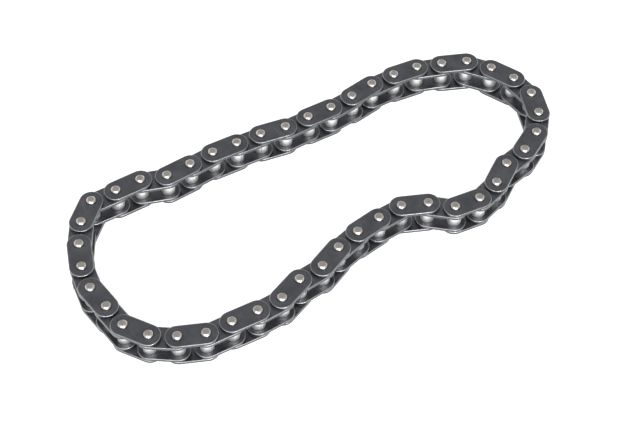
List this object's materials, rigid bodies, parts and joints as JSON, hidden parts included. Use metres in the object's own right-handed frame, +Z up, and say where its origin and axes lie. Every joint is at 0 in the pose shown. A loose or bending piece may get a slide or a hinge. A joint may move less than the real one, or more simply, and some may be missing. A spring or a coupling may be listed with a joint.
{
  "type": "roller chain",
  "caption": "Endless rollerless roller chain: blued side plates on riveted pins and curled bushes, lying on its side in a slack loop, for driving toothed sprockets.",
  "frame": {"origin": "middle of the loop's bounding box, in the plane of the lower pin ends that the chain stands on", "axes": "+X along the loop's longest extent, +Z up along the pins, which are all parallel"},
  "size_m": [0.1864, 0.0818, 0.0129],
  "materials": {
    "blued_plate": "satin blued steel with tumbled edges",
    "pin_steel": "ground hardened steel",
    "bush_steel": "satin rolled steel"
  },
  "bodies": {
    "outer_link_01": {"outer_plate_top_01": "blued_plate", "outer_plate_bottom_01": "blued_plate", "pin_a_01": "pin_steel", "pin_b_01": "pin_steel"},
    "inner_link_01": {"inner_plate_top_01": "blued_plate", "inner_plate_bottom_01": "blued_plate", "bush_a_01": "bush_steel", "bush_b_01": "bush_steel"},
    "outer_link_02": {"outer_plate_top_02": "blued_plate", "outer_plate_bottom_02": "blued_plate", "pin_a_02": "pin_steel", "pin_b_02": "pin_steel"},
    "inner_link_02": {"inner_plate_top_02": "blued_plate", "inner_plate_bottom_02": "blued_plate", "bush_a_02": "bush_steel", "bush_b_02": "bush_steel"},
    "outer_link_03": {"outer_link_03": "blued_plate"},
    "inner_link_03": {"inner_link_03": "blued_plate"},
    "outer_link_04": {"outer_link_04": "blued_plate"},
    "inner_link_04": {"inner_link_04": "blued_plate"},
    "outer_link_05": {"outer_link_05": "blued_plate"},
    "inner_link_05": {"inner_link_05": "blued_plate"},
    "outer_link_06": {"outer_link_06": "blued_plate"},
    "inner_link_06": {"inner_link_06": "blued_plate"},
    "outer_link_07": {"outer_link_07": "blued_plate"},
    "inner_link_07": {"inner_link_07": "blued_plate"},
    "outer_link_08": {"outer_link_08": "blued_plate"},
    "inner_link_08": {"inner_link_08": "blued_plate"},
    "outer_link_09": {"outer_link_09": "blued_plate"},
    "inner_link_09": {"inner_link_09": "blued_plate"},
    "outer_link_10": {"outer_link_10": "blued_plate"},
    "inner_link_10": {"inner_link_10": "blued_plate"},
    "outer_link_11": {"outer_link_11": "blued_plate"},
    "inner_link_11": {"inner_link_11": "blued_plate"},
    "outer_link_12": {"outer_link_12": "blued_plate"},
    "inner_link_12": {"inner_link_12": "blued_plate"},
    "outer_link_13": {"outer_link_13": "blued_plate"},
    "inner_link_13": {"inner_link_13": "blued_plate"},
    "outer_link_14": {"outer_link_14": "blued_plate"},
    "inner_link_14": {"inner_link_14": "blued_plate"},
    "outer_link_15": {"outer_link_15": "blued_plate"},
    "inner_link_15": {"inner_link_15": "blued_plate"},
    "outer_link_16": {"outer_link_16": "blued_plate"},
    "inner_link_16": {"inner_link_16": "blued_plate"},
    "outer_link_17": {"outer_link_17": "blued_plate"},
    "inner_link_17": {"inner_link_17": "blued_plate"},
    "outer_link_18": {"outer_link_18": "blued_plate"},
    "inner_link_18": {"inner_link_18": "blued_plate"},
    "outer_link_19": {"outer_link_19": "blued_plate"},
    "inner_link_19": {"inner_link_19": "blued_plate"},
    "outer_link_20": {"outer_link_20": "blued_plate"},
    "inner_link_20": {"inner_link_20": "blued_plate"},
    "outer_link_21": {"outer_link_21": "blued_plate"},
    "inner_link_21": {"inner_link_21": "blued_plate"},
    "outer_link_22": {"outer_link_22": "blued_plate"},
    "inner_link_22": {"inner_link_22": "blued_plate"},
    "outer_link_23": {"outer_link_23": "blued_plate"},
    "inner_link_23": {"inner_link_23": "blued_plate"}
  },
  "joints": [
    {"name": "swing_e", "type": "hinge", "parent": "inner_link_01", "child": "outer_link_02", "pos_m": [0.08207, 0.02347, 0.00644], "axis": [0, 0, 1], "range_deg": [-55, 55]},
    {"name": "pivot_04", "type": "hinge", "parent": "outer_link_02", "child": "inner_link_02", "pos_m": [0.08697, 0.0153, 0.00644], "axis": [0, 0, 1], "range_deg": [-55, 55]},
    {"name": "swing_f", "type": "hinge", "parent": "inner_link_02", "child": "outer_link_03", "pos_m": [0.08895, 0.00599, 0.00644], "axis": [0, 0, 1], "range_deg": [-55, 45]},
    {"name": "pivot_06", "type": "hinge", "parent": "outer_link_03", "child": "inner_link_03", "pos_m": [0.08649, -0.00322, 0.00644], "axis": [0, 0, 1], "range_deg": [-45, 55]},
    {"name": "pivot_07", "type": "hinge", "parent": "inner_link_03", "child": "outer_link_04", "pos_m": [0.08089, -0.01092, 0.00644], "axis": [0, 0, 1], "range_deg": [-55, 55]},
    {"name": "pivot_08", "type": "hinge", "parent": "outer_link_04", "child": "inner_link_04", "pos_m": [0.0729, -0.01611, 0.00644], "axis": [0, 0, 1], "range_deg": [-55, 55]},
    {"name": "pivot_09", "type": "hinge", "parent": "inner_link_04", "child": "outer_link_05", "pos_m": [0.06375, -0.01873, 0.00644], "axis": [0, 0, 1], "range_deg": [-55, 45]},
    {"name": "pivot_10", "type": "hinge", "parent": "outer_link_05", "child": "inner_link_05", "pos_m": [0.05621, -0.02456, 0.00644], "axis": [0, 0, 1], "range_deg": [-45, 55]},
    {"name": "pivot_11", "type": "hinge", "parent": "inner_link_05", "child": "outer_link_06", "pos_m": [0.04732, -0.02798, 0.00644], "axis": [0, 0, 1], "range_deg": [-55, 55]},
    {"name": "pivot_12", "type": "hinge", "parent": "outer_link_06", "child": "inner_link_06", "pos_m": [0.03781, -0.02748, 0.00644], "axis": [0, 0, 1], "range_deg": [-55, 55]},
    {"name": "pivot_13", "type": "hinge", "parent": "inner_link_06", "child": "outer_link_07", "pos_m": [0.0301, -0.02188, 0.00644], "axis": [0, 0, 1], "range_deg": [-55, 55]},
    {"name": "pivot_14", "type": "hinge", "parent": "outer_link_07", "child": "inner_link_07", "pos_m": [0.0211, -0.01878, 0.00644], "axis": [0, 0, 1], "range_deg": [-55, 55]},
    {"name": "pivot_15", "type": "hinge", "parent": "inner_link_07", "child": "outer_link_08", "pos_m": [0.01164, -0.01994, 0.00644], "axis": [0, 0, 1], "range_deg": [-55, 55]},
    {"name": "pivot_16", "type": "hinge", "parent": "outer_link_08", "child": "inner_link_08", "pos_m": [0.00233, -0.02192, 0.00644], "axis": [0, 0, 1], "range_deg": [-55, 55]},
    {"name": "pivot_17", "type": "hinge", "parent": "inner_link_08", "child": "outer_link_09", "pos_m": [-0.00668, -0.02502, 0.00644], "axis": [0, 0, 1], "range_deg": [-55, 55]},
    {"name": "pivot_18", "type": "hinge", "parent": "outer_link_09", "child": "inner_link_09", "pos_m": [-0.01509, -0.02949, 0.00644], "axis": [0, 0, 1], "range_deg": [-55, 55]},
    {"name": "pivot_19", "type": "hinge", "parent": "inner_link_09", "child": "outer_link_10", "pos_m": [-0.0245, -0.03098, 0.00644], "axis": [0, 0, 1], "range_deg": [-55, 55]},
    {"name": "pivot_20", "type": "hinge", "parent": "outer_link_10", "child": "inner_link_10", "pos_m": [-0.03306, -0.03516, 0.00644], "axis": [0, 0, 1], "range_deg": [-55, 55]},
    {"name": "pivot_21", "type": "hinge", "parent": "inner_link_10", "child": "outer_link_11", "pos_m": [-0.04253, -0.03615, 0.00644], "axis": [0, 0, 1], "range_deg": [-55, 55]},
    {"name": "pivot_22", "type": "hinge", "parent": "outer_link_11", "child": "inner_link_11", "pos_m": [-0.05206, -0.03632, 0.00644], "axis": [0, 0, 1], "range_deg": [-55, 55]},
    {"name": "pivot_23", "type": "hinge", "parent": "inner_link_11", "child": "outer_link_12", "pos_m": [-0.06158, -0.03665, 0.00644], "axis": [0, 0, 1], "range_deg": [-55, 55]},
    {"name": "pivot_24", "type": "hinge", "parent": "outer_link_12", "child": "inner_link_12", "pos_m": [-0.07058, -0.03355, 0.00644], "axis": [0, 0, 1], "range_deg": [-55, 55]},
    {"name": "swing_a", "type": "hinge", "parent": "inner_link_01", "child": "outer_link_01", "pos_m": [0.07557, 0.03043, 0.00644], "axis": [0, 0, 1], "range_deg": [-55, 55]},
    {"name": "pivot_01", "type": "hinge", "parent": "outer_link_01", "child": "inner_link_23", "pos_m": [0.06657, 0.03353, 0.00644], "axis": [0, 0, 1], "range_deg": [-55, 55]},
    {"name": "swing_b", "type": "hinge", "parent": "inner_link_23", "child": "outer_link_23", "pos_m": [0.05741, 0.03615, 0.00644], "axis": [0, 0, 1], "range_deg": [-55, 55]},
    {"name": "pivot_45", "type": "hinge", "parent": "outer_link_23", "child": "inner_link_22", "pos_m": [0.0479, 0.03665, 0.00644], "axis": [0, 0, 1], "range_deg": [-55, 55]},
    {"name": "swing_c", "type": "hinge", "parent": "inner_link_22", "child": "outer_link_22", "pos_m": [0.03838, 0.03615, 0.00644], "axis": [0, 0, 1], "range_deg": [-55, 55]},
    {"name": "pivot_43", "type": "hinge", "parent": "outer_link_22", "child": "inner_link_21", "pos_m": [0.02907, 0.03417, 0.00644], "axis": [0, 0, 1], "range_deg": [-55, 55]},
    {"name": "swing_g", "type": "hinge", "parent": "inner_link_21", "child": "outer_link_21", "pos_m": [0.01966, 0.03268, 0.00644], "axis": [0, 0, 1], "range_deg": [-55, 55]},
    {"name": "pivot_41", "type": "hinge", "parent": "outer_link_21", "child": "inner_link_20", "pos_m": [0.01014, 0.03235, 0.00644], "axis": [0, 0, 1], "range_deg": [-55, 55]},
    {"name": "pivot_40", "type": "hinge", "parent": "inner_link_20", "child": "outer_link_20", "pos_m": [0.00064, 0.03168, 0.00644], "axis": [0, 0, 1], "range_deg": [-55, 55]},
    {"name": "pivot_39", "type": "hinge", "parent": "outer_link_20", "child": "inner_link_19", "pos_m": [-0.00883, 0.03268, 0.00644], "axis": [0, 0, 1], "range_deg": [-55, 55]},
    {"name": "swing_d", "type": "hinge", "parent": "inner_link_19", "child": "outer_link_19", "pos_m": [-0.01836, 0.03268, 0.00644], "axis": [0, 0, 1], "range_deg": [-55, 55]},
    {"name": "pivot_37", "type": "hinge", "parent": "outer_link_19", "child": "inner_link_18", "pos_m": [-0.02788, 0.03251, 0.00644], "axis": [0, 0, 1], "range_deg": [-55, 55]},
    {"name": "pivot_36", "type": "hinge", "parent": "inner_link_18", "child": "outer_link_18", "pos_m": [-0.03732, 0.03119, 0.00644], "axis": [0, 0, 1], "range_deg": [-55, 55]},
    {"name": "pivot_35", "type": "hinge", "parent": "outer_link_18", "child": "inner_link_17", "pos_m": [-0.04678, 0.03009, 0.00644], "axis": [0, 0, 1], "range_deg": [-55, 55]},
    {"name": "pivot_34", "type": "hinge", "parent": "inner_link_17", "child": "outer_link_17", "pos_m": [-0.05598, 0.03256, 0.00644], "axis": [0, 0, 1], "range_deg": [-55, 45]},
    {"name": "pivot_33", "type": "hinge", "parent": "outer_link_17", "child": "inner_link_16", "pos_m": [-0.06548, 0.03189, 0.00644], "axis": [0, 0, 1], "range_deg": [-45, 55]},
    {"name": "pivot_32", "type": "hinge", "parent": "inner_link_16", "child": "outer_link_16", "pos_m": [-0.07499, 0.03139, 0.00644], "axis": [0, 0, 1], "range_deg": [-55, 45]},
    {"name": "pivot_31", "type": "hinge", "parent": "outer_link_16", "child": "inner_link_15", "pos_m": [-0.08149, 0.02443, 0.00644], "axis": [0, 0, 1], "range_deg": [-45, 55]},
    {"name": "pivot_30", "type": "hinge", "parent": "inner_link_15", "child": "outer_link_15", "pos_m": [-0.08566, 0.01587, 0.00644], "axis": [0, 0, 1], "range_deg": [-55, 55]},
    {"name": "pivot_29", "type": "hinge", "parent": "outer_link_15", "child": "inner_link_14", "pos_m": [-0.08829, 0.00671, 0.00644], "axis": [0, 0, 1], "range_deg": [-55, 55]},
    {"name": "pivot_28", "type": "hinge", "parent": "inner_link_14", "child": "outer_link_14", "pos_m": [-0.08895, -0.00279, 0.00644], "axis": [0, 0, 1], "range_deg": [-55, 55]},
    {"name": "pivot_27", "type": "hinge", "parent": "outer_link_14", "child": "inner_link_13", "pos_m": [-0.08693, -0.0121, 0.00644], "axis": [0, 0, 1], "range_deg": [-55, 55]},
    {"name": "pivot_26", "type": "hinge", "parent": "inner_link_13", "child": "outer_link_13", "pos_m": [-0.08483, -0.02139, 0.00644], "axis": [0, 0, 1], "range_deg": [-55, 45]}
  ],
  "couplings": [
    {"joint": "pivot_04", "follows": "swing_e", "ratio": -1},
    {"joint": "pivot_06", "follows": "swing_f", "ratio": -1},
    {"joint": "pivot_07", "follows": "swing_e", "ratio": 1},
    {"joint": "pivot_08", "follows": "swing_e", "ratio": -1},
    {"joint": "pivot_09", "follows": "swing_f", "ratio": 1},
    {"joint": "pivot_10", "follows": "swing_f", "ratio": -1},
    {"joint": "pivot_11", "follows": "swing_b", "ratio": 1},
    {"joint": "pivot_12", "follows": "swing_b", "ratio": -1},
    {"joint": "pivot_13", "follows": "swing_e", "ratio": 1},
    {"joint": "pivot_14", "follows": "swing_e", "ratio": -1},
    {"joint": "pivot_15", "follows": "swing_c", "ratio": 1},
    {"joint": "pivot_16", "follows": "swing_c", "ratio": -1},
    {"joint": "pivot_17", "follows": "swing_g", "ratio": 1},
    {"joint": "pivot_18", "follows": "swing_g", "ratio": -1},
    {"joint": "pivot_19", "follows": "swing_g", "ratio": 1},
    {"joint": "pivot_20", "follows": "swing_g", "ratio": -1},
    {"joint": "pivot_21", "follows": "swing_d", "ratio": 1},
    {"joint": "pivot_22", "follows": "swing_d", "ratio": -1},
    {"joint": "pivot_23", "follows": "swing_a", "ratio": 1},
    {"joint": "pivot_24", "follows": "swing_a", "ratio": -1},
    {"joint": "pivot_01", "follows": "swing_a", "ratio": -1},
    {"joint": "pivot_45", "follows": "swing_b", "ratio": -1},
    {"joint": "pivot_43", "follows": "swing_c", "ratio": -1},
    {"joint": "pivot_41", "follows": "swing_g", "ratio": -1},
    {"joint": "pivot_40", "follows": "swing_g", "ratio": 1},
    {"joint": "pivot_39", "follows": "swing_g", "ratio": -1},
    {"joint": "pivot_37", "follows": "swing_d", "ratio": -1},
    {"joint": "pivot_36", "follows": "swing_e", "ratio": 1},
    {"joint": "pivot_35", "follows": "swing_e", "ratio": -1},
    {"joint": "pivot_34", "follows": "swing_f", "ratio": 1},
    {"joint": "pivot_33", "follows": "swing_f", "ratio": -1},
    {"joint": "pivot_32", "follows": "swing_f", "ratio": 1},
    {"joint": "pivot_31", "follows": "swing_f", "ratio": -1},
    {"joint": "pivot_30", "follows": "swing_e", "ratio": 1},
    {"joint": "pivot_29", "follows": "swing_e", "ratio": -1},
    {"joint": "pivot_28", "follows": "swing_g", "ratio": 1},
    {"joint": "pivot_27", "follows": "swing_g", "ratio": -1},
    {"joint": "pivot_26", "follows": "swing_f", "ratio": 1}
  ]
}
